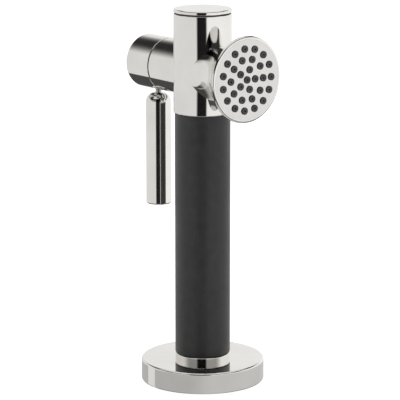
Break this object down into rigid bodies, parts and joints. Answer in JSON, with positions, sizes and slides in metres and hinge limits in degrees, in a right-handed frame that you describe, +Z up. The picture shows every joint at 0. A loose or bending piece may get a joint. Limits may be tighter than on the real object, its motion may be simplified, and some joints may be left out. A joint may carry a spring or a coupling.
{
  "type": "pull-out hand spray",
  "caption": "Deck-mounted pull-out hand spray: round flange, long grip, cross-shaped polished head, flared spray face and a hanging squeeze lever.",
  "frame": {"origin": "centre of the flange's underside, on the axis of the shank thread, at deck level", "axes": "+Z up along the grip, -Y the way the spray face looks, +Y towards the lever, X to the side"},
  "size_m": [0.0622, 0.0805, 0.1894],
  "materials": {
    "polished_metal": "polished nickel, mirror bright and slightly warm",
    "grip_black": "satin black moulded grip",
    "brass": "turned brass",
    "steel": "turned stainless steel",
    "rubber": "black rubber",
    "white_plastic": "natural acetal",
    "silicone": "dark grey silicone"
  },
  "bodies": {
    "dock": {"flange": "polished_metal", "flange_seal": "rubber", "dock_collar": "polished_metal", "guide_bush": "white_plastic"},
    "hose_end": {"hose_fitting": "brass", "swivel_orings": "rubber", "inlet_strainer": "steel"},
    "sprayer": {"tail_socket": "polished_metal", "retaining_ring": "steel", "grip_sleeve": "grip_black", "handle_tube": "brass", "tube_orings": "rubber", "check_valve_body": "white_plastic", "check_valve_spring": "steel", "head_body": "polished_metal", "top_cap": "polished_metal", "top_cap_gasket": "rubber", "rear_housing_gasket": "rubber", "valve_seat": "brass", "valve_seat_oring": "rubber", "spindle_guide": "brass", "spindle_guide_oring": "rubber", "spindle_oring": "rubber", "rear_housing": "polished_metal", "lever_yoke": "brass", "pivot_pin": "steel", "spray_bell": "polished_metal", "bell_oring": "rubber", "diffuser": "white_plastic", "filter_screen": "steel", "nozzle_mat": "silicone", "nozzle_plate": "polished_metal"},
    "lever": {"lever_rocker": "steel", "lever_stem": "steel", "lever_rod": "polished_metal"},
    "water_valve": {"valve_spindle": "steel", "valve_poppet": "brass", "poppet_seal": "rubber", "poppet_nut": "brass", "spindle_nut": "brass", "return_spring": "steel"},
    "check_valve": {"check_valve_poppet": "white_plastic", "check_valve_seal": "rubber"}
  },
  "joints": [
    {"name": "sprayer_lift", "type": "slide", "parent": "dock", "child": "hose_end", "axis": [0, 0, 1], "range_m": [0, 0.12]},
    {"name": "sprayer_turn", "type": "hinge", "parent": "hose_end", "child": "sprayer", "pos_m": [0, 0, 0.02], "axis": [0, 0, 1], "continuous": true},
    {"name": "lever_squeeze", "type": "hinge", "parent": "sprayer", "child": "lever", "pos_m": [0, 0.0359, 0.1515], "axis": [-1, 0, 0], "range_deg": [0, 12.5], "stiffness_Nm_per_rad": 0.5, "springref_deg": -8.59},
    {"name": "valve_travel", "type": "slide", "parent": "sprayer", "child": "water_valve", "axis": [0, 1, 0], "range_m": [0, 0.00145]},
    {"name": "check_valve_travel", "type": "slide", "parent": "sprayer", "child": "check_valve", "axis": [0, 0, 1], "range_m": [0, 0.0025], "stiffness_N_per_m": 40, "springref_m": -0.002, "deforming": ["check_valve_spring"]}
  ],
  "couplings": [
    {"joint": "valve_travel", "follows": "lever_squeeze", "m_per_rad": 0.0065}
  ]
}
